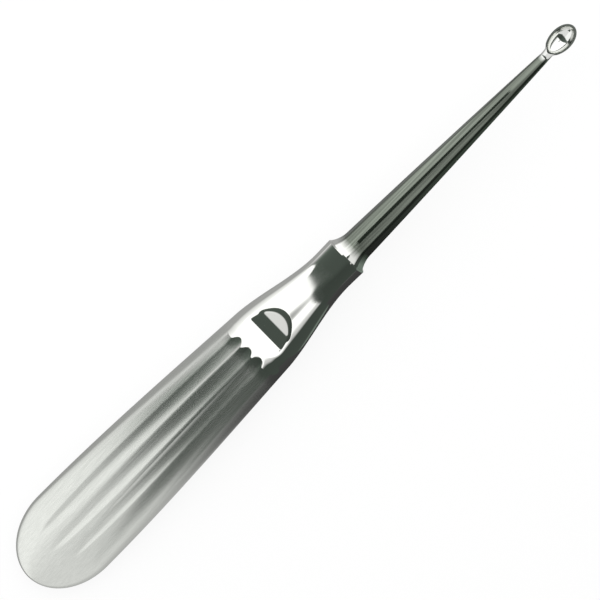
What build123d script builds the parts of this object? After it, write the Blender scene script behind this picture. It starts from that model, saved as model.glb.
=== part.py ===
from build123d import *
import os
from math import atan2, cos, degrees, hypot, pi, sin, sqrt

# Bone curette, forged and ground from one bar of stainless steel: a fluted handle, a ramped nose
# with a thumb dish, a square-shouldered neck, a tapered eight-sided shank and an oval cup.
# X runs from the butt of the handle to the cup, Y across, and Z toward the opening of the cup.
# The tool lies on the crests of its back, so the cup end is tilted up by the wedge of the grip.

# Lengths along the tool, from the butt to the tip
butt_length = 14.0
grip_length = 54.8
brow_length = 2.0
nose_length = 24.2
neck_length = 4.5
flare_length = 3.8
shank_length = 56.9
throat_length = 1.6
cup_rear_length = 4.3
cup_front_length = 3.9

# Widths across the tool
belly_width = 21.6
brow_width = 16.9
nose_width = 16.6
waist_width = 9.8
shoulder_width = 10.0
flare_width = 9.4
shank_root_width = 7.1
shank_middle_width = 4.95
throat_width = 2.24
cup_width = 5.04

# Heights through the tool
belly_height = 6.8
brow_height = 12.6
nose_height = 11.5
waist_height = 8.6
shoulder_height = 9.0
flare_height = 8.2

# Slopes of the long side lines, as rise over run
belly_rise = 0.1
grip_taper = 0.062
nose_taper = 0.035
nose_fall = 0.14
brow_fall = 0.04

# How square the cross-sections are: 2 is an ellipse, and more is fuller
belly_fullness = 2.5
nose_fullness = 2.05
neck_fullness = 3.2
butt_edge_fullness = 3.0

# Flutes along the grip, alike on the front and the back
flute_count = 3
flute_pitch = 4.05
flute_radius = 5.2
flute_depth = 0.4
flute_start = 11.0
flute_deepest = 52.0
rest_land_depth = 0.04

# Thumb dish, ground across the nose: a rounded front wall, a level floor and a ramp up to a crest
dish_setback = 4.1
dish_floor_length = 2.7
dish_ramp_length = 3.1
dish_ramp_slope = 0.17
dish_front_radius = 6.0
dish_bend_radius = 3.0
dish_edge_radius = 0.8

# Shoulder and shank
shoulder_bevel = 0.3
shank_edge_share = 0.39
shank_side_count = 8
throat_edge_share = 0.9
throat_step = 0.04

# Cup: an oval bowl open to +Z
cup_rim_height = 1.5
cup_bottom_drop = 1.4
cup_wall = 0.4
cup_floor = 0.55
cup_brim = 0.3
throat_sharpness = 6

# Places worked out from the lengths, measured from the butt
brow_place = butt_length + grip_length
nose_place = brow_place + brow_length
waist_place = nose_place + nose_length
shoulder_place = waist_place + neck_length
flare_end = shoulder_place + flare_length
throat_place = flare_end + shank_length
cup_rear = throat_place + throat_length
cup_place = cup_rear + cup_rear_length

# Number of points round a section, and of sections along each stretch
round_point_count = 24
butt_section_count = 6
grip_section_count = 6
brow_section_count = 3
nose_section_count = 7
flare_section_count = 4
throat_section_count = 4
cup_rear_section_count = 3
cup_front_section_count = 4
flute_section_count = 8


def blend(place, start, end):
    """Height of a cubic at a place, from (place, value, slope) at its start and its end."""
    run = end[0] - start[0]
    u = (place - start[0]) / run
    rise_in = start[2] * run * u * (1 - u) ** 2
    rise_out = end[2] * run * u * u * (u - 1)
    return start[1] + (end[1] - start[1]) * u * u * (3 - 2 * u) + rise_in + rise_out


def grip_half_width(place):
    return blend(place, (butt_length, belly_width / 2, 0), (brow_place, brow_width / 2, -grip_taper))


def front_height(place):
    """Crowned upper line of the grip, above the axis."""
    return blend(place, (butt_length, belly_height / 2, belly_rise), (brow_place, brow_height / 2, 0))


def back_depth(place):
    """Straight lower line of the grip, below the axis."""
    return (belly_height + (brow_height - belly_height) * (place - butt_length) / grip_length) / 2


def grip_fullness(place):
    return blend(place, (butt_length, belly_fullness, 0), (brow_place, nose_fullness, 0))


def section(place, half_width, up, down, fullness, middle=0.0):
    """Closed curve across the tool: an oval with its own heights above and below its middle line."""
    points = []
    for step in range(round_point_count):
        turn = 2 * pi * step / round_point_count
        across, rise = cos(turn), sin(turn)
        reach = (abs(across) ** fullness + abs(rise) ** fullness) ** (-1 / fullness)
        half_height = up if rise > 0 else down
        points.append((place, half_width * across * reach, middle + half_height * rise * reach))
    knots = [step / round_point_count for step in range(round_point_count + 1)]
    return Wire([Edge.make_spline(points, periodic=True, parameters=knots)])


def crown_share(place, offset):
    """How much of its middle height the grip still has beside the middle line."""
    fullness = grip_fullness(place)
    return (1 - (abs(offset) / grip_half_width(place)) ** fullness) ** (1 / fullness)


def even_section(place, half_width, half_height, fullness):
    return section(place, half_width, half_height, half_height, fullness)


def octagon(place, half_width, half_height, edge_share):
    """Eight-sided section of the shank, a corner uppermost, with rounded corners."""
    edge_radius = edge_share * min(half_width, half_height)
    lost = edge_radius * (1 / cos(pi / shank_side_count) - 1)
    corners = []
    for side in range(shank_side_count):
        turn = 2 * pi * side / shank_side_count
        corners.append(((half_width + lost) * cos(turn), (half_height + lost) * sin(turn)))
    outline = make_face(Polyline(*corners, close=True))
    rounded = fillet(outline.vertices(), edge_radius)
    return (Plane(origin=(place, 0, 0), x_dir=(0, 1, 0), z_dir=(1, 0, 0)) * rounded).face()


def shares(count):
    return [(step + 1) / count for step in range(count)]


def grip():
    """Butt and grip: a pole at the butt, an elliptical outline, then a long rising wedge."""
    sections = [Vertex(0, 0, 0)]
    for share in shares(butt_section_count):
        turn = pi / 2 * share
        place = butt_length * (1 - cos(turn))
        edge = (1 - cos(turn) ** butt_edge_fullness) ** (1 / butt_edge_fullness)
        up, down = front_height(place) * edge, back_depth(place) * edge
        sections.append(section(place, belly_width / 2 * sin(turn), up, down, belly_fullness))
    for share in shares(grip_section_count):
        place = butt_length + grip_length * share
        up, down = front_height(place), back_depth(place)
        sections.append(section(place, grip_half_width(place), up, down, grip_fullness(place)))
    return Solid.make_loft(sections)


def nose():
    """Brow at the flutes' ends, the ramp down to the waist and the neck up to the shoulder."""
    side_start = (nose_place, nose_width / 2, -nose_taper)
    side_end = (waist_place, waist_width / 2, 0)
    brow_start = (brow_place, brow_height / 2, -brow_fall)
    ramp_start = (nose_place, nose_height / 2, -nose_fall)
    ramp_end = (waist_place, waist_height / 2, 0)
    sections = [even_section(brow_place, brow_width / 2, brow_height / 2, nose_fullness)]
    for share in shares(brow_section_count):
        place = brow_place + brow_length * share
        half_width = (brow_width + (nose_width - brow_width) * share) / 2
        half_height = blend(place, brow_start, ramp_start)
        sections.append(even_section(place, half_width, half_height, nose_fullness))
    for share in shares(nose_section_count):
        place = nose_place + nose_length * share
        half_width = blend(place, side_start, side_end)
        half_height = blend(place, ramp_start, ramp_end)
        fullness = nose_fullness + (neck_fullness - nose_fullness) * share ** 2
        sections.append(even_section(place, half_width, half_height, fullness))
    sections.append(even_section(shoulder_place, shoulder_width / 2, shoulder_height / 2, neck_fullness))
    body = Solid.make_loft(sections)
    end_face = body.faces().sort_by(Axis.X)[-1]
    body = body.chamfer(shoulder_bevel, None, end_face.edges())
    dish = dish_cutter()
    before = body.edges()
    body = body - dish
    rim = [edge for edge in body.edges().filter_by(GeomType.BSPLINE) if edge not in before]
    return fillet(rim, dish_edge_radius)


def flute_cutter(offset, height):
    """Rod that ploughs one flute, square to the crown of the given height, shallow near the butt."""
    start, end = flute_start / 2, nose_place + brow_length
    circles = []
    for step in range(flute_section_count + 1):
        place = start + (end - start) * step / flute_section_count
        half_width, half_height = grip_half_width(place), height(place)
        share = crown_share(place, offset)
        side_share = abs(offset) / half_width
        slope = half_height / half_width * (side_share / share) ** (grip_fullness(place) - 1)
        fade = ((place - flute_deepest) / (flute_deepest - flute_start)) ** 2
        reach = flute_radius - flute_depth * (1 - fade)
        lean = reach / hypot(1, slope)
        outward = 1 if offset > 0 else -1
        middle = (place, offset + outward * slope * lean, half_height * share + lean)
        ring = Plane(origin=middle, x_dir=(0, 1, 0), z_dir=(1, 0, 0))
        circles.append(Wire.make_circle(flute_radius, ring))
    return Solid.make_loft(circles)


def resting_line():
    """Ends of the line in side view that levels the crests of the back, from butt to brow."""
    ends = []
    for place in (butt_length, brow_place):
        crest = back_depth(place) * crown_share(place, flute_pitch / 2)
        ends.append((place, rest_land_depth - crest))
    return ends


def resting_tilt():
    (start, start_height), (end, end_height) = resting_line()
    return degrees(atan2(start_height - end_height, end - start))


def rest_cutter():
    """All that lies below the resting line, taken off so that the crests get flat lands."""
    (start, start_height), _ = resting_line()
    block = Pos(grip_length / 2, 0, -belly_width / 2) * Box(2 * grip_length, 2 * belly_width, belly_width)
    return Pos(start, 0, start_height) * Rot(0, resting_tilt(), 0) * block


def dish_cutter():
    """Scoop ground across the nose, its ramp running out in the crest of the dish."""
    ramp_start = (nose_place, nose_height / 2, -nose_fall)
    ramp_end = (waist_place, waist_height / 2, 0)
    floor_start = nose_place + dish_setback
    floor_end = floor_start + dish_floor_length
    crest = floor_end + dish_ramp_length
    floor = blend(crest, ramp_start, ramp_end) - dish_ramp_slope * dish_ramp_length
    top = floor + dish_front_radius
    run_out = floor_end + dish_front_radius / dish_ramp_slope
    front = CenterArc((floor_start, top), dish_front_radius, 180, 90)
    lip = floor_start - dish_front_radius
    rest = Polyline((floor_start, floor), (floor_end, floor), (run_out, top), (lip, top))
    profile = make_face(front + rest)
    bend = profile.vertices().sort_by_distance((floor_end, floor))[0]
    profile = fillet(bend, dish_bend_radius)
    return extrude(Plane.XZ.offset(-belly_width / 2) * profile, belly_width)


def shank():
    """Flare at the shoulder, hollow like the wheel that ground it, then the long taper."""
    drop = (flare_width - shank_root_width) / 2
    hollow_radius = (flare_length**2 + drop**2) / (2 * drop)
    flare = []
    for step in range(flare_section_count + 1):
        share = step / flare_section_count
        left = flare_length * (1 - share)
        lift = (hollow_radius - sqrt(hollow_radius**2 - left**2)) / drop
        half_width = (shank_root_width + (flare_width - shank_root_width) * lift) / 2
        half_height = (shank_root_width + (flare_height - shank_root_width) * lift) / 2
        place = shoulder_place + flare_length * share
        flare.append(octagon(place, half_width, half_height, shank_edge_share))
    middle = flare_end + shank_length / 2
    throat_radius = throat_width / 2 + throat_step
    taper = [
        octagon(flare_end, shank_root_width / 2, shank_root_width / 2, shank_edge_share),
        octagon(middle, shank_middle_width / 2, shank_middle_width / 2, shank_edge_share),
        octagon(throat_place, throat_radius, throat_radius, throat_edge_share),
    ]
    return loft(flare) + loft(taper)


def cup():
    """Throat and bowl in one skin, cut off at the rim, and the hollow ground into it."""
    throat_radius = throat_width / 2
    blend_end = cup_rear + throat_length
    sections = [section(throat_place, throat_radius, throat_radius, throat_radius, 2)]
    places = [throat_place + (blend_end - throat_place) * share for share in shares(throat_section_count)]
    places += [blend_end + (cup_place - blend_end) * share for share in shares(cup_rear_section_count)]
    for place in places:
        back = (cup_place - place) / cup_rear_length
        oval = cup_width / 2 * sqrt(max(1 - back * back, 0))
        half_width = (oval**throat_sharpness + throat_radius**throat_sharpness) ** (1 / throat_sharpness)
        share = min((place - throat_place) / (blend_end - throat_place), 1)
        ease = share * share * (3 - 2 * share)
        middle = cup_rim_height * ease
        up = throat_radius + (cup_brim - throat_radius) * ease
        fall = (place - throat_place) / (cup_place - throat_place)
        bottom = throat_radius + (cup_bottom_drop - throat_radius) * fall * fall * (3 - 2 * fall)
        sections.append(section(place, half_width, up, middle + bottom, 2, middle))
    for step in range(cup_front_section_count):
        turn = pi / 2 * (step + 1) / (cup_front_section_count + 1)
        place = cup_place + cup_front_length * sin(turn)
        depth = (cup_rim_height + cup_bottom_drop) * cos(turn)
        sections.append(
            section(place, cup_width / 2 * cos(turn), cup_brim * cos(turn), depth, 2, cup_rim_height)
        )
    sections.append(Vertex(cup_place + cup_front_length, 0, cup_rim_height))
    skin = Solid.make_loft(sections)
    above = Pos(cup_place, 0, cup_rim_height + belly_width / 2) * Box(belly_width, belly_width, belly_width)
    inner_length = (cup_rear_length + cup_front_length) / 2 - cup_wall
    inner_place = cup_place + (cup_front_length - cup_rear_length) / 2
    inner_depth = cup_rim_height + cup_bottom_drop - cup_floor
    ball = scale(Sphere(1), (inner_length, cup_width / 2 - cup_wall, inner_depth))
    return skin - above - Pos(inner_place, 0, cup_rim_height) * ball


def curette():
    handle = grip() + nose()
    for number in range(flute_count):
        offset = (number - (flute_count - 1) / 2) * flute_pitch
        front = flute_cutter(offset, front_height)
        back = mirror(flute_cutter(offset, back_depth), Plane.XY)
        handle = handle - front - back
    return handle - rest_cutter() + shank() + cup()


os.makedirs("parts", exist_ok=True)
tool = Rot(0, -resting_tilt(), 0) * curette()
box = tool.bounding_box()
tool = Pos(-box.center().X, 0, -box.min.Z) * tool
export_step(tool, "parts/curette.step")
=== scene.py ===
"""Bone curette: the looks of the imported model, one forging of stainless steel on a pale floor."""
import logging
from dataclasses import dataclass, field
from enum import Enum
from math import acos, atan2, cos, hypot, pi, radians, sin, sqrt, tan

import bmesh
import bpy
from mathutils import Matrix, Vector


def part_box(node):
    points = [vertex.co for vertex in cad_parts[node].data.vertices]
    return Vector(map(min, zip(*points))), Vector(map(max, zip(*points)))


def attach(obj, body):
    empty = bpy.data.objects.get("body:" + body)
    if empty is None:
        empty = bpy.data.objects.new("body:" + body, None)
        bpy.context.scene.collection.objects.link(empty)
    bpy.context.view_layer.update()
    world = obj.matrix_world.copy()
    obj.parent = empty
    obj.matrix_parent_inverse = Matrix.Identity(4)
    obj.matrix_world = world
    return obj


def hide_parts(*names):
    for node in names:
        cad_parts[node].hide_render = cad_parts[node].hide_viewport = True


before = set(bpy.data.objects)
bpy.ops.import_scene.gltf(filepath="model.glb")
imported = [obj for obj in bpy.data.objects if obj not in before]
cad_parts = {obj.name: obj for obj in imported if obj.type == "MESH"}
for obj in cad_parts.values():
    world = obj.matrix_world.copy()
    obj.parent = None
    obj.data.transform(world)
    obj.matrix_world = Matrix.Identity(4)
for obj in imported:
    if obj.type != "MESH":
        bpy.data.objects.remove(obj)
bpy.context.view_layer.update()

logging.basicConfig(level=logging.INFO, format="%(name)s: %(message)s")
log = logging.getLogger("curette")

MILLIMETRE = 0.001
PHOTO_PIXELS = 600
WHITE = "FFFFFF"
DIM_TINT = "EAFFEF"


def linear(hex_colour: str) -> tuple[float, float, float, float]:
    """Turns an sRGB colour into the linear one that a shader takes.

    Args:
        hex_colour: six hexadecimal digits, such as "D4D6D1".

    Returns:
        Linear red, green, blue and an alpha of 1.
    """
    parts = [int(hex_colour[start:start + 2], 16) / 255 for start in (0, 2, 4)]
    red, green, blue = [
        part / 12.92 if part <= 0.04045 else ((part + 0.055) / 1.055) ** 2.4 for part in parts
    ]
    return red, green, blue, 1.0


def add_node(tree: bpy.types.NodeTree, kind: str, settings: dict | None = None,
             inputs: dict | None = None) -> bpy.types.Node:
    """Adds a node to a material or world, with its settings and what feeds it.

    Args:
        tree: the node tree that gets the node.
        kind: the node's type name.
        settings: the node's own properties, by name.
        inputs: by socket name or number, a value or the socket of another node to link from.

    Returns:
        The new node.
    """
    made = tree.nodes.new(kind)
    for name, value in (settings or {}).items():
        setattr(made, name, value)
    for key, value in (inputs or {}).items():
        if isinstance(value, bpy.types.NodeSocket):
            tree.links.new(value, made.inputs[key])
        else:
            made.inputs[key].default_value = value
    return made


def set_ramp(node: bpy.types.Node, stops: list[tuple[float, tuple[float, ...]]]) -> None:
    """Gives a colour ramp its stops.

    Args:
        node: the colour ramp node.
        stops: place from 0 to 1 and linear colour of each stop, in order.
    """
    elements = node.color_ramp.elements
    while len(elements) < len(stops):
        elements.new(1.0)
    for element, (place, colour) in zip(elements, stops):
        element.position = place
        element.color = colour


def add_object(name: str, mesh: bmesh.types.BMesh) -> bpy.types.Object:
    """Turns a bmesh into an object of the scene, and frees it.

    Args:
        name: the name of the object and of its mesh.
        mesh: the shape, which is used up.

    Returns:
        The new object.
    """
    data = bpy.data.meshes.new(name)
    mesh.to_mesh(data)
    mesh.free()
    made = bpy.data.objects.new(name, data)
    bpy.context.scene.collection.objects.link(made)
    return made


def bare_material(name: str) -> bpy.types.Material:
    """A new material whose node tree is empty."""
    material = bpy.data.materials.new(name)
    material.use_nodes = True
    material.node_tree.nodes.clear()
    return material


def blend(place: float, start: tuple[float, float, float], end: tuple[float, float, float]) -> float:
    """Height of a cubic at a place.

    Args:
        place: where along the tool.
        start: place, value and slope where the cubic starts.
        end: place, value and slope where it ends.

    Returns:
        The cubic's value.
    """
    run = end[0] - start[0]
    share = (place - start[0]) / run
    rise_in = start[2] * run * share * (1 - share) ** 2
    rise_out = end[2] * run * share * share * (share - 1)
    return start[1] + (end[1] - start[1]) * share * share * (3 - 2 * share) + rise_in + rise_out


def soft_least(first: float, second: float, softness: float) -> float:
    """The lesser of two heights, with the edge between them rounded over."""
    overlap = max(softness - abs(first - second), 0.0) / softness
    return min(first, second) - overlap * overlap * softness / 4


def spread(start: float, end: float, count: int) -> list[float]:
    """Evenly spaced places after a start, up to and with an end."""
    return [start + (end - start) * (step + 1) / count for step in range(count)]


def oval(half_width: float, up: float, down: float, fullness: float, turn: float,
         middle: float = 0.0) -> tuple[float, float]:
    """A point on a cross-section that is an oval, or fuller than one.

    Args:
        half_width: half of the section's width.
        up: height above its middle line.
        down: depth below it.
        fullness: 2 for an ellipse, more for a squarer section.
        turn: angle round the section from the +Y side, in radians.
        middle: height of its middle line.

    Returns:
        The point's Y and Z.
    """
    across, rise = cos(turn), sin(turn)
    reach = (abs(across) ** fullness + abs(rise) ** fullness) ** (-1 / fullness)
    return half_width * across * reach, middle + (up if rise > 0 else down) * rise * reach


@dataclass
class Handle:
    """Fluted grip, nose with its thumb dish, and neck, up to the square shoulder.

    Sizes are in mm, and places are measured from the butt. Neighbouring flutes lie apart by the closeness
    times the half width. The pitch is the CAD model's own, and only the resting line is worked out from it.
    """

    butt_length: float = 14.0
    brow_place: float = 69.4
    nose_place: float = 72.0
    waist_place: float = 95.0
    shoulder_place: float = 99.5
    belly_width: float = 21.6
    brow_width: float = 16.83
    nose_width: float = 16.52
    waist_width: float = 9.8
    shoulder_width: float = 10.0
    belly_height: float = 6.8
    brow_height: float = 12.66
    nose_height: float = 11.16
    waist_height: float = 8.6
    shoulder_height: float = 9.0
    belly_rise: float = 0.1
    grip_taper: float = 0.062
    nose_taper: float = 0.035
    nose_fall: float = 0.14
    brow_fall: float = 0.0
    belly_fullness: float = 2.5
    nose_fullness: float = 2.05
    neck_fullness: float = 3.2
    butt_edge_fullness: float = 3.0
    flute_count: int = 3
    flute_pitch: float = 4.05
    flute_closeness: float = 0.38
    flute_radius: float = 3.4
    flute_depth: float = 0.45
    flute_start: float = 8.0
    flute_deepest: float = 60.0
    flute_fade_power: int = 4
    flute_end: float = 72.8
    crest_softness: float = 0.10
    rest_land_depth: float = 0.04
    dish_floor_start: float = 75.3
    dish_floor_end: float = 77.9
    dish_crest: float = 81.1
    dish_front_radius: float = 6.0
    dish_ramp_slope: float = 0.17
    dish_edge_softness: float = 0.24
    shoulder_bevel: float = 0.3
    scallop_rings_start: float = 66.0
    dish_rings_start: float = 73.0
    dish_rings_end: float = 82.2
    butt_rings: int = 36
    grip_rings: int = 52
    scallop_rings: int = 54
    dish_rings: int = 62
    neck_rings: int = 36
    bevel_rings: int = 2

    def half_width(self, place: float) -> float:
        """Half width of the grip, from the belly on."""
        start = (self.butt_length, self.belly_width / 2, 0)
        return blend(place, start, (self.brow_place, self.brow_width / 2, -self.grip_taper))

    def front_height(self, place: float) -> float:
        """Crowned upper line of the grip, above the axis."""
        start = (self.butt_length, self.belly_height / 2, self.belly_rise)
        return blend(place, start, (self.brow_place, self.brow_height / 2, 0))

    def back_depth(self, place: float) -> float:
        """Straight lower line of the grip, below the axis."""
        share = (place - self.butt_length) / (self.brow_place - self.butt_length)
        return (self.belly_height + (self.brow_height - self.belly_height) * share) / 2

    def fullness(self, place: float) -> float:
        """How square the grip's section is."""
        start = (self.butt_length, self.belly_fullness, 0)
        return blend(place, start, (self.brow_place, self.nose_fullness, 0))

    def ramp_height(self, place: float) -> float:
        """Upper line of the nose, above the axis, from the flutes' ends down to the waist."""
        start = (self.nose_place, self.nose_height / 2, -self.nose_fall)
        return blend(place, start, (self.waist_place, self.waist_height / 2, 0))

    def crown_share(self, place: float, offset: float) -> float:
        """How much of its middle height the grip still has beside the middle line."""
        fullness = self.fullness(place)
        return max(1 - (abs(offset) / self.half_width(place)) ** fullness, 0.0) ** (1 / fullness)

    def body(self, place: float, turn: float) -> tuple[float, float]:
        """A point on the handle's section before the flutes and the dish are cut.

        Args:
            place: where along the tool.
            turn: angle round the section, in radians.

        Returns:
            The point's Y and Z.
        """
        if place <= self.butt_length:
            quarter = acos(max(min(1 - place / self.butt_length, 1.0), 0.0))
            edge = (1 - cos(quarter) ** self.butt_edge_fullness) ** (1 / self.butt_edge_fullness)
            up, down = self.front_height(place) * edge, self.back_depth(place) * edge
            return oval(self.belly_width / 2 * sin(quarter), up, down, self.belly_fullness, turn)
        if place <= self.brow_place:
            up, down = self.front_height(place), self.back_depth(place)
            return oval(self.half_width(place), up, down, self.fullness(place), turn)
        if place <= self.nose_place:
            share = (place - self.brow_place) / (self.nose_place - self.brow_place)
            half_width = (self.brow_width + (self.nose_width - self.brow_width) * share) / 2
            start = (self.brow_place, self.brow_height / 2, -self.brow_fall)
            height = blend(place, start, (self.nose_place, self.nose_height / 2, -self.nose_fall))
            return oval(half_width, height, height, self.nose_fullness, turn)
        if place <= self.waist_place:
            share = (place - self.nose_place) / (self.waist_place - self.nose_place)
            start = (self.nose_place, self.nose_width / 2, -self.nose_taper)
            half_width = blend(place, start, (self.waist_place, self.waist_width / 2, 0))
            height = self.ramp_height(place)
            fullness = self.nose_fullness + (self.neck_fullness - self.nose_fullness) * share ** 2
            return oval(half_width, height, height, fullness, turn)
        share = (place - self.waist_place) / (self.shoulder_place - self.waist_place)
        lost = max(place - self.shoulder_place + self.shoulder_bevel, 0.0)
        half_width = (self.waist_width + (self.shoulder_width - self.waist_width) * share) / 2 - lost
        height = (self.waist_height + (self.shoulder_height - self.waist_height) * share) / 2 - lost
        return oval(half_width, height, height, self.neck_fullness, turn)

    def flute_floors(self, place: float, height: float) -> list[tuple[float, float]]:
        """Centres of the three wheels that grind the flutes, in one cross-section.

        Args:
            place: where along the tool.
            height: how high the crown is there, above the axis.

        Returns:
            Y and Z of each wheel's centre.
        """
        centres = []
        run = self.flute_deepest - self.flute_start
        fade = abs((place - self.flute_deepest) / run) ** self.flute_fade_power
        reach = self.flute_radius - self.flute_depth * (1 - fade)
        for number in range(self.flute_count):
            offset = (number - (self.flute_count - 1) / 2) * self.flute_closeness * self.half_width(place)
            share = self.crown_share(place, offset)
            side_share = abs(offset) / self.half_width(place)
            slope = height / self.half_width(place) * (side_share / share) ** (self.fullness(place) - 1)
            lean = reach / hypot(1, slope)
            outward = 1 if offset > 0 else -1
            centres.append((offset + outward * slope * lean, height * share + lean))
        return centres

    def dish_line(self, place: float) -> float:
        """Lowest height that the wheel of the thumb dish leaves at a place, above the axis."""
        crest = self.ramp_height(self.dish_crest)
        floor = crest - self.dish_ramp_slope * (self.dish_crest - self.dish_floor_end)
        if place < self.dish_floor_start:
            back = min(self.dish_floor_start - place, self.dish_front_radius)
            return floor + self.dish_front_radius - sqrt(self.dish_front_radius ** 2 - back ** 2)
        ramp = floor + self.dish_ramp_slope * (place - self.dish_floor_end)
        return -soft_least(-floor, -ramp, self.dish_edge_softness / 2)

    def outline(self, place: float, turn: float) -> tuple[float, float]:
        """A point on the finished handle's section.

        Args:
            place: where along the tool.
            turn: angle round the section, in radians.

        Returns:
            The point's Y and Z.
        """
        across, height = self.body(place, turn)
        if self.flute_start / 2 < place < self.flute_end:
            crown = self.front_height(place) if height > 0 else self.back_depth(place)
            level = abs(height)
            for centre, rise in self.flute_floors(place, crown):
                beside = abs(across - centre)
                if beside < self.flute_radius:
                    floor = rise - sqrt(self.flute_radius ** 2 - beside ** 2)
                    level = soft_least(level, floor, self.crest_softness)
            height = level if height > 0 else -level
        if height > 0 and self.brow_place < place < self.waist_place:
            height = soft_least(height, self.dish_line(place), self.dish_edge_softness)
        return across, height

    def places(self) -> list[float]:
        """Where the skin has a ring along the handle, close together at the flutes' ends and the dish."""
        butt = [self.butt_length * (1 - cos(pi / 2 * share)) for share in spread(0, 1, self.butt_rings)]
        grip = spread(self.butt_length, self.scallop_rings_start, self.grip_rings)
        scallops = spread(self.scallop_rings_start, self.dish_rings_start, self.scallop_rings)
        dish = spread(self.dish_rings_start, self.dish_rings_end, self.dish_rings)
        neck = spread(self.dish_rings_end, self.shoulder_place - self.shoulder_bevel, self.neck_rings)
        bevel = spread(neck[-1], self.shoulder_place, self.bevel_rings)
        return butt + grip + scallops + dish + neck + bevel


@dataclass
class Shank:
    """Hollow flare at the shoulder and a long eight-sided taper, a ridge uppermost. Sizes in mm."""

    start: float = 99.5
    flare_length: float = 3.8
    length: float = 56.9
    flare_width: float = 9.4
    flare_height: float = 8.2
    root_width: float = 7.1
    middle_width: float = 4.95
    throat_width: float = 2.32
    edge_share: float = 0.39
    throat_edge_share: float = 0.9
    side_count: int = 8
    flare_rings: int = 14
    taper_rings: int = 34

    def rounded_side(self, half_width: float, half_height: float, edge_share: float,
                     turn: float) -> tuple[float, float]:
        """A point on an eight-sided section with rounded corners.

        Args:
            half_width: half of the width across corners.
            half_height: half of the height across corners.
            edge_share: corner radius as a share of the half width.
            turn: angle round the section, in radians.

        Returns:
            The point's Y and Z.
        """
        half_side = pi / self.side_count
        edge = edge_share * half_width
        centre = half_width - edge
        off = abs((turn + half_side) % (2 * half_side) - half_side)
        arc_end = atan2(edge * sin(half_side), centre + edge * cos(half_side))
        if off < arc_end:
            reach = centre * cos(off) + sqrt(edge ** 2 - (centre * sin(off)) ** 2)
        else:
            reach = (centre * cos(half_side) + edge) / cos(half_side - off)
        return reach * cos(turn), reach * sin(turn) * half_height / half_width

    def outline(self, place: float, turn: float) -> tuple[float, float]:
        """A point on the shank's section at a place, at an angle round it."""
        flare_end = self.start + self.flare_length
        if place < flare_end:
            left = flare_end - place
            drop = (self.flare_width - self.root_width) / 2
            hollow = (self.flare_length ** 2 + drop ** 2) / (2 * drop)
            lift = (hollow - sqrt(hollow ** 2 - left ** 2)) / drop
            half_width = (self.root_width + (self.flare_width - self.root_width) * lift) / 2
            half_height = (self.root_width + (self.flare_height - self.root_width) * lift) / 2
            return self.rounded_side(half_width, half_height, self.edge_share, turn)
        share = (place - flare_end) / self.length
        bow = 2 * self.middle_width - (self.root_width + self.throat_width)
        half_width = (self.root_width + (self.throat_width - self.root_width) * share) / 2
        half_width += bow * share * (1 - share)
        edge_share = self.edge_share
        if share > 0.5:
            edge_share += (self.throat_edge_share - self.edge_share) * (2 * share - 1) ** 2
        return self.rounded_side(half_width, half_width, edge_share, turn)

    def places(self) -> list[float]:
        """Where the skin has a ring along the shank."""
        flare_end = self.start + self.flare_length
        flare = spread(self.start, flare_end, self.flare_rings)
        return [self.start] + flare + spread(flare_end, flare_end + self.length, self.taper_rings)


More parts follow.
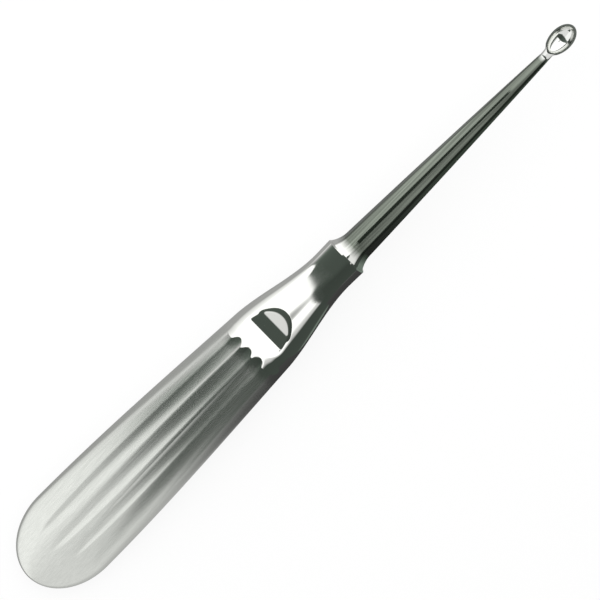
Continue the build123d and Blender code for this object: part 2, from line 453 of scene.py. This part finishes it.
@dataclass
class Cup:
    """Throat and oval bowl, open to +Z, with a narrow flat rim. Sizes in mm."""

    start: float = 160.2
    throat_length: float = 1.6
    rear_length: float = 4.3
    front_length: float = 3.9
    throat_width: float = 2.24
    width: float = 5.04
    rim_height: float = 1.5
    bottom_drop: float = 1.4
    wall: float = 0.4
    floor: float = 1.1
    brim: float = 0.3
    throat_sharpness: int = 6
    hollow_flatness: float = 2.1
    hollow_lean: float = 9.0
    rear_rings: int = 30
    front_rings: int = 22
    hollow_turns: int = 96
    hollow_levels: int = 64

    def outline(self, place: float, turn: float) -> tuple[float, float]:
        """A point on the section of the throat or the bowl, before the hollow is ground.

        Args:
            place: where along the tool.
            turn: angle round the section, in radians.

        Returns:
            The point's Y and Z.
        """
        radius = self.throat_width / 2
        rear = self.start + self.throat_length
        middle_place = rear + self.rear_length
        if place <= middle_place:
            blend_end = rear + self.throat_length
            back = (middle_place - place) / self.rear_length
            bowl = self.width / 2 * sqrt(max(1 - back * back, 0))
            power = self.throat_sharpness
            half_width = (bowl ** power + radius ** power) ** (1 / power)
            share = min((place - self.start) / (blend_end - self.start), 1)
            ease = share * share * (3 - 2 * share)
            middle = self.rim_height * ease
            up = radius + (self.brim - radius) * ease
            fall = (place - self.start) / (middle_place - self.start)
            bottom = radius + (self.bottom_drop - radius) * fall * fall * (3 - 2 * fall)
            across, height = oval(half_width, up, middle + bottom, 2, turn, middle)
        else:
            front = min((place - middle_place) / self.front_length, 1)
            shrink = sqrt(1 - front * front)
            depth = (self.rim_height + self.bottom_drop) * shrink
            half_width, up = self.width / 2 * shrink, self.brim * shrink
            across, height = oval(half_width, up, depth, 2, turn, self.rim_height)
        return across, min(height, self.rim_height)

    def places(self) -> list[float]:
        """Where the skin has a ring along the throat and the bowl, short of its tip."""
        middle_place = self.start + self.throat_length + self.rear_length
        shares = spread(0, 1, self.front_rings)[:-1]
        front = [middle_place + self.front_length * sin(pi / 2 * share) for share in shares]
        return spread(self.start, middle_place, self.rear_rings) + front

    def tip(self) -> Vector:
        """The foremost point of the bowl."""
        place = self.start + self.throat_length + self.rear_length + self.front_length
        return Vector((place, 0, self.rim_height))

    def hollow(self) -> bmesh.types.BMesh:
        """The bowl's hollow as a closed ball, flatter at its bottom than an ellipsoid.

        Returns:
            A bmesh in the tool's own frame, in mm.
        """
        ball = bmesh.new()
        bmesh.ops.create_uvsphere(
            ball, u_segments=self.hollow_turns, v_segments=self.hollow_levels, radius=1,
        )
        length = (self.rear_length + self.front_length) / 2 - self.wall
        widest = self.start + self.throat_length + self.rear_length
        middle = widest + (self.front_length - self.rear_length) / 2
        depth = self.rim_height + self.bottom_drop - self.floor
        for vert in ball.verts:
            side = min(hypot(vert.co.x, vert.co.y), 1.0)
            level = (1 - side ** self.hollow_flatness) ** (1 / self.hollow_flatness)
            rise = depth * level * (1 if vert.co.z > 0 else -1)
            vert.co = Vector((length * vert.co.x, (self.width / 2 - self.wall) * vert.co.y, rise))
        lean = Matrix.Rotation(radians(-self.hollow_lean), 4, "Y")
        seat = Matrix.Translation((middle, 0, self.rim_height)) @ lean
        bmesh.ops.transform(ball, matrix=seat, verts=ball.verts)
        return ball


class Zone(Enum):
    """Stretches of the tool that were finished differently, by their start in mm from the butt."""

    GRIP = 0.0
    NOSE = 70.6
    SHANK = 102.2
    CUP = 160.6


@dataclass(frozen=True)
class GroundFinish:
    """How one stretch of the steel was finished.

    The colour is the steel's own, save on the shank, where a darker colour is painted shade for the
    dark surroundings that its facets mirror. Roughness spreads the reflections, and grain is how far the
    wheel's lengthwise scratches darken and tilt the surface. Run-in is the length in mm over which the
    finish before it gives way.
    """

    zone: Zone
    colour: str
    roughness: float
    grain: float
    run_in: float


@dataclass(frozen=True)
class SurgicalSteel:
    """Martensitic stainless steel, forged and ground, then polished on the nose and in the cup.

    The satin grip gives soft grey gradients, the polished nose and cup mirror the light tent sharply, and
    the shank keeps the lengthwise grain of the grinding wheel. The bowl's flat rim is coloured as a thin dark
    line.
    Grain lines are the scratches in a mm across the tool. They are drawn about 0.4 mm wide, far coarser
    than a wheel leaves them, because finer ones wouldn't show. Depths and places are in mm.
    """

    name: str = "surgical_stainless_steel"
    finishes: tuple[GroundFinish, ...] = (
        GroundFinish(Zone.GRIP, "D3D5D0", 0.19, 0.04, 0.0),
        GroundFinish(Zone.NOSE, "D9DAD6", 0.04, 0.0, 3.6),
        # The shank's dark colour is painted shade: it stands in for the dark surroundings that its facets
        # mirror.
        GroundFinish(Zone.SHANK, "70766D", 0.19, 0.35, 1.8),
        GroundFinish(Zone.CUP, "E0E1DE", 0.05, 0.0, 0.9),
    )
    grain_lines: float = 2.4
    grain_stretch: float = 60.0
    grain_detail: float = 3.0
    grain_range: tuple[float, float] = (0.3, 0.7)
    grain_depth: float = 0.01
    # Dark colour given to the flat top of the bowl's wall, drawn as a thin line round the cup.
    rim_colour: str = "4A4E4A"
    rim_height: float = 1.5
    rim_depth: float = 0.03
    tool_length: float = 170.0

    def zone_ramp(self, tree: bpy.types.NodeTree, place: bpy.types.NodeSocket,
                  values: list[tuple[float, ...]]) -> bpy.types.NodeSocket:
        """Steps from one finish's value to the next along the tool.

        Args:
            tree: the material's node tree.
            place: share of the tool's length, from the butt.
            values: the colour or grey of each finish.

        Returns:
            The socket that gives the value.
        """
        ramp = add_node(tree, "ShaderNodeValToRGB", None, {0: place})
        stops = []
        for finish, value in zip(self.finishes, values):
            if stops:
                stops.append(((finish.zone.value - finish.run_in) / self.tool_length, stops[-1][1]))
            stops.append((finish.zone.value / self.tool_length, value))
        set_ramp(ramp, stops)
        return ramp.outputs["Color"]

    def make(self, to_row: Matrix) -> bpy.types.Material:
        """Builds the material.

        Args:
            to_row: turns a point of the tool's own frame, in mm, into the row frame, in metres.

        Returns:
            The new material.
        """
        material = bpy.data.materials.new(self.name)
        material.use_nodes = True
        tree = material.node_tree
        shader = tree.nodes["Principled BSDF"]
        shader.inputs["Metallic"].default_value = 1.0
        back, turn, size = to_row.inverted().decompose()
        coordinates = add_node(tree, "ShaderNodeTexCoord")
        own = add_node(tree, "ShaderNodeMapping", {"vector_type": "POINT"}, {
            "Vector": coordinates.outputs["Object"], "Location": back, "Rotation": turn.to_euler(),
            "Scale": size,
        })
        parts = add_node(tree, "ShaderNodeSeparateXYZ", None, {0: own.outputs["Vector"]})
        place = add_node(tree, "ShaderNodeMath", {"operation": "DIVIDE"}, {
            0: parts.outputs["X"], 1: self.tool_length,
        }).outputs[0]
        colours = self.zone_ramp(tree, place, [linear(finish.colour) for finish in self.finishes])
        roughnesses = [(finish.roughness,) * 3 + (1.0,) for finish in self.finishes]
        roughness = self.zone_ramp(tree, place, roughnesses)
        grain = self.zone_ramp(tree, place, [(finish.grain,) * 3 + (1.0,) for finish in self.finishes])
        stretched = add_node(tree, "ShaderNodeMapping", None, {
            "Vector": coordinates.outputs["Object"], "Scale": (1 / self.grain_stretch, 1.0, 1.0),
        })
        scratches = add_node(tree, "ShaderNodeTexNoise", None, {
            "Vector": stretched.outputs["Vector"], "Scale": self.grain_lines / MILLIMETRE,
            "Detail": self.grain_detail,
        })
        dimming = add_node(tree, "ShaderNodeMapRange", None, {
            "Value": scratches.outputs[0], "From Min": self.grain_range[0],
            "From Max": self.grain_range[1], "To Min": -1.0, "To Max": 1.0,
        })
        uneven = add_node(tree, "ShaderNodeMath", {"operation": "MULTIPLY_ADD"}, {
            0: dimming.outputs["Result"], 1: grain, 2: 1.0,
        })
        scratched = add_node(tree, "ShaderNodeVectorMath", {"operation": "SCALE"}, {
            0: colours, "Scale": uneven.outputs[0],
        })
        above = add_node(tree, "ShaderNodeMath", {"operation": "COMPARE"}, {
            0: parts.outputs["Z"], 1: self.rim_height, 2: self.rim_depth,
        })
        in_cup = add_node(tree, "ShaderNodeMath", {"operation": "GREATER_THAN"}, {
            0: place, 1: Zone.CUP.value / self.tool_length,
        })
        on_rim = add_node(tree, "ShaderNodeMath", {"operation": "MULTIPLY"}, {
            0: above.outputs[0], 1: in_cup.outputs[0],
        })
        base = add_node(tree, "ShaderNodeMix", {"data_type": "RGBA"}, {
            "Factor": on_rim.outputs[0], 6: scratched.outputs[0], 7: linear(self.rim_colour),
        })
        tree.links.new(base.outputs[2], shader.inputs["Base Color"])
        tree.links.new(roughness, shader.inputs["Roughness"])
        relief = add_node(tree, "ShaderNodeBump", None, {
            "Height": scratches.outputs[0], "Strength": grain, "Distance": self.grain_depth * MILLIMETRE,
        })
        tree.links.new(relief.outputs[0], shader.inputs["Normal"])
        return material


@dataclass
class Curette:
    """The whole tool: one closed skin from the butt to the tip, with the bowl ground out of it."""

    handle: Handle = field(default_factory=Handle)
    shank: Shank = field(default_factory=Shank)
    cup: Cup = field(default_factory=Cup)
    steel: SurgicalSteel = field(default_factory=SurgicalSteel)
    ring_points: int = 224
    crowding: float = 0.15
    sharp_angle: float = 32.0
    merge_distance: float = 0.0005

    def resting_line(self) -> tuple[tuple[float, float], tuple[float, float]]:
        """Ends, in side view, of the line that the crests of the back lie on."""
        handle = self.handle
        ends = []
        for place in (handle.butt_length, handle.brow_place):
            crest = handle.back_depth(place) * handle.crown_share(place, handle.flute_pitch / 2)
            ends.append((place, handle.rest_land_depth - crest))
        return ends[0], ends[1]

    def tilt(self) -> float:
        """Angle, in radians, by which the axis rises toward the cup when the tool lies on its back."""
        (start, start_height), (end, end_height) = self.resting_line()
        return atan2(start_height - end_height, end - start)

    def rings(self) -> list[tuple[Handle | Shank | Cup, float]]:
        """The part that shapes each ring of the skin, and the ring's place along the tool."""
        return [(part, place) for part in (self.handle, self.shank, self.cup) for place in part.places()]

    def skin(self) -> bmesh.types.BMesh:
        """The outer skin, shaped from a flat grid that is rolled up and closed at both ends.

        Returns:
            A closed bmesh in the tool's own frame, in mm.
        """
        rings = self.rings()
        mesh = bmesh.new()
        bmesh.ops.create_grid(mesh, x_segments=len(rings) + 1, y_segments=self.ring_points, size=0.5)
        (start, start_height), (end, end_height) = self.resting_line()
        fall = (end_height - start_height) / (end - start)
        for vert in mesh.verts:
            ring = round((vert.co.x + 0.5) * (len(rings) + 1))
            turn = 2 * pi * (vert.co.y + 0.5)
            turn += self.crowding * sin(2 * turn)
            if ring == 0:
                vert.co = Vector((0, 0, 0))
            elif ring > len(rings):
                vert.co = self.cup.tip()
            else:
                part, place = rings[ring - 1]
                across, height = part.outline(place, turn)
                if part is self.handle:
                    height = max(height, start_height + fall * (place - start))
                vert.co = Vector((place, across, height))
        bmesh.ops.remove_doubles(mesh, verts=mesh.verts, dist=self.merge_distance)
        bmesh.ops.recalc_face_normals(mesh, faces=mesh.faces)
        return mesh

    def placement(self, data: bpy.types.Mesh) -> Matrix:
        """Where the tool lies: leaned on its back's crests, its box matched to the CAD model's.

        Args:
            data: the piece's mesh in the tool's own frame, in mm.

        Returns:
            The matrix that turns the tool's own frame, in mm, into the row frame, in metres.
        """
        leaned = Matrix.Rotation(-self.tilt(), 4, "Y") @ Matrix.Scale(MILLIMETRE, 4)
        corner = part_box("curette")[0]
        lowest = [min((leaned @ vert.co)[axis] for vert in data.vertices) for axis in (0, 2)]
        return Matrix.Translation((corner.x - lowest[0], 0, corner.z - lowest[1])) @ leaned

    def build(self) -> tuple[bpy.types.Object, Matrix]:
        """Makes the finished piece in the CAD model's place.

        Returns:
            The piece's object, at the origin with its place in its mesh, and the matrix of that place.
        """
        piece = add_object("curette_steel", self.skin())
        ball = add_object("bowl_hollow", self.cup.hollow())
        cut = piece.modifiers.new("hollow", "BOOLEAN")
        cut.operation = "DIFFERENCE"
        cut.solver = "EXACT"
        cut.object = ball
        evaluated = piece.evaluated_get(bpy.context.evaluated_depsgraph_get())
        data = bpy.data.meshes.new_from_object(evaluated)
        piece.modifiers.clear()
        bpy.data.objects.remove(ball)
        to_row = self.placement(data)
        data.transform(to_row)
        data.polygons.foreach_set("use_smooth", [True] * len(data.polygons))
        data.set_sharp_from_angle(angle=radians(self.sharp_angle))
        data.materials.clear()
        data.materials.append(self.steel.make(to_row))
        piece.data = data
        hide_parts("curette")
        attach(piece, "root")
        return piece, to_row


@dataclass
class Tent:
    """Light tent over the tool: two soft panels with a dark gap between them, and a grey spot for the lens.

    Angles are in degrees from straight above the tool's middle: along leans toward the cup, and aside
    toward the +Y side. Brightness is 1 for white paper in full light. Edges and levels were chosen
    from how bright the photograph is where the steel mirrors each angle. The radius and the low side's
    ends are in metres.
    """

    radius: float = 0.42
    middle: float = 85.0
    cup_panel_edge: tuple[tuple[float, float], ...] = (
        (-180, -4.0), (0, -4.0), (30, -6.0), (60, -12.5), (90, -23.0), (180, -23.0),
    )
    butt_panel_edge: tuple[tuple[float, float], ...] = (
        (-180, -60.0), (-86, -60.0), (-80, -50.0), (-70, -33.0), (-60, -25.5), (-48, -25.0), (-30, -25.0),
        (-14, -21.5), (12, -20.5), (40, -20.5), (55, -24.0), (68, -31.0), (180, -31.0),
    )
    cup_panel_softness: float = 0.25
    butt_panel_softness: float = 2.0
    widest_edge: float = 60.0
    lens: tuple[float, float] = (0.5, -4.0)
    lens_reach: tuple[float, float] = (6.0, 9.0)
    lens_shade: float = 0.65
    low_side: tuple[float, float] = (-0.092, -0.062)
    low_side_aside: tuple[float, float] = (-88.0, -80.0)
    low_side_level: float = 0.1
    dim_level: float = 0.3
    cup_panel: tuple[tuple[float, float], ...] = (
        (-180, 0.25), (-128, 0.25), (-121, 0.09), (-52, 0.08), (-45, 0.75), (-38, 0.9), (-30, 1.6), (60, 1.6),
        (68, 1.3), (82, 0.95), (90, 0.5), (180, 0.5),
    )
    butt_panel: tuple[tuple[float, float], ...] = (
        (-180, 0.5), (-90, 0.75), (-66, 0.94), (6, 0.94), (14, 1.25), (60, 1.2), (82, 0.9), (90, 0.5),
        (180, 0.4),
    )
    gap: tuple[tuple[float, float], ...] = (
        (-180, 0.08), (-75, 0.08), (-10, 0.07), (2, 0.1), (40, 0.13), (55, 0.2), (68, 0.45), (82, 0.55),
        (90, 0.5), (180, 0.4),
    )
    brightest: float = 2.0
    fineness: int = 5

    def build(self, to_row: Matrix) -> bpy.types.Object:
        """Makes the tent, which no camera ray sees.

        Args:
            to_row: turns a point of the tool's own frame, in mm, into the row frame, in metres.

        Returns:
            The tent's object.
        """
        shell = bmesh.new()
        bmesh.ops.create_icosphere(shell, subdivisions=self.fineness, radius=self.radius)
        bmesh.ops.reverse_faces(shell, faces=shell.faces)
        tent = add_object("light_tent", shell)
        tent.data.polygons.foreach_set("use_smooth", [True] * len(tent.data.polygons))
        turn = to_row.to_quaternion().to_matrix().to_4x4()
        tent.matrix_world = Matrix.Translation(to_row @ Vector((self.middle, 0, 0))) @ turn
        tent.data.materials.append(self.cloth())
        tent.visible_camera = False
        tent.visible_shadow = False
        return tent

    def across_ramp(self, tree: bpy.types.NodeTree, aside: bpy.types.NodeSocket,
                    stops: tuple[tuple[float, float], ...], span: float) -> bpy.types.NodeSocket:
        """A value that changes from side to side.

        Args:
            tree: the cloth's node tree.
            aside: the angle toward the side, in degrees.
            stops: angle and value, in order.
            span: what the values are divided by to fit the ramp.

        Returns:
            The socket that gives the value as a share of the span.
        """
        share = add_node(tree, "ShaderNodeMapRange", None, {
            "Value": aside, "From Min": -180.0, "From Max": 180.0,
        })
        ramp = add_node(tree, "ShaderNodeValToRGB", None, {0: share.outputs["Result"]})
        colours = []
        for angle, value in stops:
            tint = linear(DIM_TINT if 0 < value < self.dim_level else WHITE)
            colours.append((angle / 360 + 0.5, tuple(value / span * part for part in tint[:3]) + (1.0,)))
        set_ramp(ramp, colours)
        return ramp.outputs["Color"]

    def panel_mask(self, tree: bpy.types.NodeTree, along: bpy.types.NodeSocket, aside: bpy.types.NodeSocket,
                   edge: tuple[tuple[float, float], ...], softness: float) -> bpy.types.NodeSocket:
        """Where a panel is, with a soft edge that bows away at the sides.

        Args:
            tree: the cloth's node tree.
            along: the angle toward the cup, in degrees.
            aside: the angle toward the side, in degrees.
            edge: the edge's angle along the tool at some angles aside.
            softness: half of the edge's soft width.

        Returns:
            The socket that is 1 toward the cup from the edge and 0 toward the butt.
        """
        line = self.across_ramp(tree, aside, edge, -self.widest_edge)
        past = add_node(tree, "ShaderNodeMath", {"operation": "MULTIPLY_ADD"}, {
            0: line, 1: self.widest_edge, 2: along,
        })
        mask = add_node(tree, "ShaderNodeMapRange", {"interpolation_type": "SMOOTHSTEP"}, {
            "Value": past.outputs[0], "From Min": -softness, "From Max": softness,
        })
        return mask.outputs["Result"]

    def lens_mask(self, tree: bpy.types.NodeTree, along: bpy.types.NodeSocket,
                  aside: bpy.types.NodeSocket) -> bpy.types.NodeSocket:
        """How bright the cup's panel stays round the grey spot where the lens looks in.

        Args:
            tree: the cloth's node tree.
            along: the angle toward the cup, in degrees.
            aside: the angle toward the side, in degrees.

        Returns:
            The socket that is 1 away from the lens and less over it.
        """
        squares = []
        for angle, middle, reach in zip((along, aside), self.lens, self.lens_reach):
            off = add_node(tree, "ShaderNodeMath", {"operation": "SUBTRACT"}, {0: angle, 1: middle})
            share = add_node(tree, "ShaderNodeMath", {"operation": "DIVIDE"}, {0: off.outputs[0], 1: reach})
            square = add_node(tree, "ShaderNodeMath", {"operation": "POWER"}, {0: share.outputs[0], 1: 2.0})
            squares.append(square.outputs[0])
        distance = add_node(tree, "ShaderNodeMath", {"operation": "ADD"}, {0: squares[0], 1: squares[1]})
        mask = add_node(tree, "ShaderNodeMapRange", {"interpolation_type": "SMOOTHSTEP"}, {
            "Value": distance.outputs[0], "From Min": 0.0, "From Max": 1.0, "To Min": 1 - self.lens_shade,
            "To Max": 1.0,
        })
        return mask.outputs["Result"]

    def low_side_mask(self, tree: bpy.types.NodeTree, place: bpy.types.NodeSocket,
                      aside: bpy.types.NodeSocket) -> bpy.types.NodeSocket:
        """How bright the butt's panel stays low on the -Y side, where it ends short of the nose.

        Args:
            tree: the cloth's node tree.
            place: distance from the tent's middle toward the cup, in metres.
            aside: the angle toward the side, in degrees.

        Returns:
            The socket that is 1 where the panel is whole.
        """
        ends = add_node(tree, "ShaderNodeMapRange", None, {
            "Value": place, "From Min": self.low_side[0], "From Max": self.low_side[1], "To Min": 1.0,
            "To Max": self.low_side_level,
        })
        high = add_node(tree, "ShaderNodeMapRange", None, {
            "Value": aside, "From Min": self.low_side_aside[0], "From Max": self.low_side_aside[1],
        })
        mask = add_node(tree, "ShaderNodeMath", {"operation": "MAXIMUM"}, {
            0: ends.outputs["Result"], 1: high.outputs["Result"],
        })
        return mask.outputs[0]

    def cloth(self) -> bpy.types.Material:
        """Emissive cloth whose brightness follows the direction from the tool's middle.

        Returns:
            The new material.
        """
        material = bare_material("tent_cloth")
        tree = material.node_tree
        coordinates = add_node(tree, "ShaderNodeTexCoord")
        parts = add_node(tree, "ShaderNodeSeparateXYZ", None, {0: coordinates.outputs["Object"]})
        angles = []
        for axis in ("X", "Y"):
            angle = add_node(tree, "ShaderNodeMath", {"operation": "ARCTAN2"}, {
                0: parts.outputs[axis], 1: parts.outputs["Z"],
            })
            angles.append(add_node(tree, "ShaderNodeMath", {"operation": "DEGREES"}, {0: angle.outputs[0]}))
        along, aside = [angle.outputs[0] for angle in angles]
        cup_side = self.panel_mask(tree, along, aside, self.cup_panel_edge, self.cup_panel_softness)
        off_butt = self.panel_mask(tree, along, aside, self.butt_panel_edge, self.butt_panel_softness)
        gap = self.across_ramp(tree, aside, self.gap, self.brightest)
        panels = []
        for stops, mask in (
            (self.butt_panel, self.low_side_mask(tree, parts.outputs["X"], aside)),
            (self.cup_panel, self.lens_mask(tree, along, aside)),
        ):
            panels.append(add_node(tree, "ShaderNodeVectorMath", {"operation": "SCALE"}, {
                0: self.across_ramp(tree, aside, stops, self.brightest), "Scale": mask,
            }))
        lower = add_node(tree, "ShaderNodeMix", {"data_type": "RGBA"}, {
            "Factor": off_butt, 6: panels[0].outputs[0], 7: gap,
        })
        light = add_node(tree, "ShaderNodeMix", {"data_type": "RGBA"}, {
            "Factor": cup_side, 6: lower.outputs[2], 7: panels[1].outputs[0],
        })
        glow = add_node(tree, "ShaderNodeEmission", None, {
            "Color": light.outputs[2], "Strength": self.brightest,
        })
        add_node(tree, "ShaderNodeOutputMaterial", None, {"Surface": glow.outputs[0]})
        return material


@dataclass
class BlackCard:
    """Dark card hung over the shank, which its uppermost ridge mirrors and the nose doesn't. Sizes in mm."""

    start: float = 103.0
    end: float = 150.0
    half_width: float = 4.8
    aside: float = -0.7
    height: float = 10.0
    brightness: float = 0.10

    def build(self, to_row: Matrix) -> bpy.types.Object:
        """Makes the card, which only reflections see.

        Args:
            to_row: turns a point of the tool's own frame, in mm, into the row frame, in metres.

        Returns:
            The card's object.
        """
        sheet = bmesh.new()
        bmesh.ops.create_grid(sheet, x_segments=1, y_segments=1, size=0.5)
        size = Matrix.Diagonal((self.end - self.start, 2 * self.half_width, 1, 1))
        place = Matrix.Translation(((self.start + self.end) / 2, self.aside, self.height))
        bmesh.ops.transform(sheet, matrix=to_row @ place @ size, verts=sheet.verts)
        card = add_object("black_card", sheet)
        material = bare_material("black_cardboard")
        tree = material.node_tree
        glow = add_node(tree, "ShaderNodeEmission", None, {
            "Color": linear(DIM_TINT), "Strength": self.brightness,
        })
        add_node(tree, "ShaderNodeOutputMaterial", None, {"Surface": glow.outputs[0]})
        card.data.materials.append(material)
        card.visible_camera = False
        card.visible_shadow = False
        card.visible_diffuse = False
        return card


@dataclass
class Floor:
    """Plain white table that keeps a faint shadow of the tool."""

    size: float = 14.0
    shadow_share: float = 0.12

    def build(self) -> bpy.types.Object:
        """Makes the table top at the height that the tool lies on.

        Returns:
            The floor's object.
        """
        top = bmesh.new()
        bmesh.ops.create_grid(top, x_segments=1, y_segments=1, size=self.size / 2)
        floor = add_object("table", top)
        material = bare_material("white_table")
        tree = material.node_tree
        paper = add_node(tree, "ShaderNodeBsdfDiffuse", None, {"Color": linear(WHITE)})
        white = add_node(tree, "ShaderNodeEmission", None, {"Color": linear(WHITE), "Strength": 1.0})
        rays = add_node(tree, "ShaderNodeLightPath")
        seen = add_node(tree, "ShaderNodeMath", {"operation": "MULTIPLY"}, {
            0: rays.outputs["Is Camera Ray"], 1: 1 - self.shadow_share,
        })
        mixed = add_node(tree, "ShaderNodeMixShader", None, {
            0: seen.outputs[0], 1: paper.outputs[0], 2: white.outputs[0],
        })
        add_node(tree, "ShaderNodeOutputMaterial", None, {"Surface": mixed.outputs[0]})
        floor.data.materials.append(material)
        floor.visible_glossy = False
        return floor


@dataclass
class Camera:
    """The photograph's long lens, nearly overhead, turned so that the tool runs from corner to corner.

    Angles are in degrees, the scale in mm a pixel, and distances in metres. Pixel is where the middle, in
    mm from the butt, falls in the photograph.
    """

    forward_lean: float = 7.0
    side_lean: float = -6.2
    image_turn: float = 45.13
    scale: float = 0.2175
    distance: float = 3.0
    middle: float = 85.0
    pixel: tuple[float, float] = (300.5, 302.3)
    sensor_width: float = 36.0
    clip_end: float = 100.0

    def build(self, to_row: Matrix) -> bpy.types.Object:
        """Makes the camera and makes it the scene's own.

        Args:
            to_row: turns a point of the tool's own frame, in mm, into the row frame, in metres.

        Returns:
            The camera's object.
        """
        turn = to_row.to_3x3().normalized()
        leans = Vector((tan(radians(self.forward_lean)), tan(radians(self.side_lean)), 1))
        view = (turn @ leans).normalized()
        axis = turn @ Vector((1, 0, 0))
        along = (axis - axis.dot(view) * view).normalized()
        beside = view.cross(along)
        angle = radians(self.image_turn)
        right = cos(angle) * along - sin(angle) * beside
        up = sin(angle) * along + cos(angle) * beside
        step = self.scale * MILLIMETRE
        centre = PHOTO_PIXELS / 2
        target = to_row @ Vector((self.middle, 0, 0))
        target += right * (centre - self.pixel[0]) * step - up * (centre - self.pixel[1]) * step
        data = bpy.data.cameras.new("camera")
        data.sensor_width = self.sensor_width
        data.lens = data.sensor_width * self.distance / (PHOTO_PIXELS * step)
        data.clip_end = self.clip_end
        camera = bpy.data.objects.new("camera", data)
        basis = Matrix((right, up, view)).transposed().to_4x4()
        camera.matrix_world = Matrix.Translation(target + view * self.distance) @ basis
        bpy.context.scene.collection.objects.link(camera)
        bpy.context.scene.camera = camera
        return camera


def set_world() -> None:
    """Gives the scene a white world behind the floor and the tent."""
    world = bpy.data.worlds.new("white_world")
    world.use_nodes = True
    world.node_tree.nodes["Background"].inputs["Color"].default_value = linear(WHITE)
    world.node_tree.nodes["Background"].inputs["Strength"].default_value = 1.0
    bpy.context.scene.world = world


def main() -> None:
    """Builds the tool, the table, the light and the camera, and reports each piece."""
    scene = bpy.context.scene
    scene.view_settings.view_transform = "Standard"
    piece, to_row = Curette().build()
    log.info("%s: %d faces", piece.name, len(piece.data.polygons))
    Camera().build(to_row)
    Floor().build()
    Tent().build(to_row)
    BlackCard().build(to_row)
    set_world()


if __name__ == "__main__":
    main()
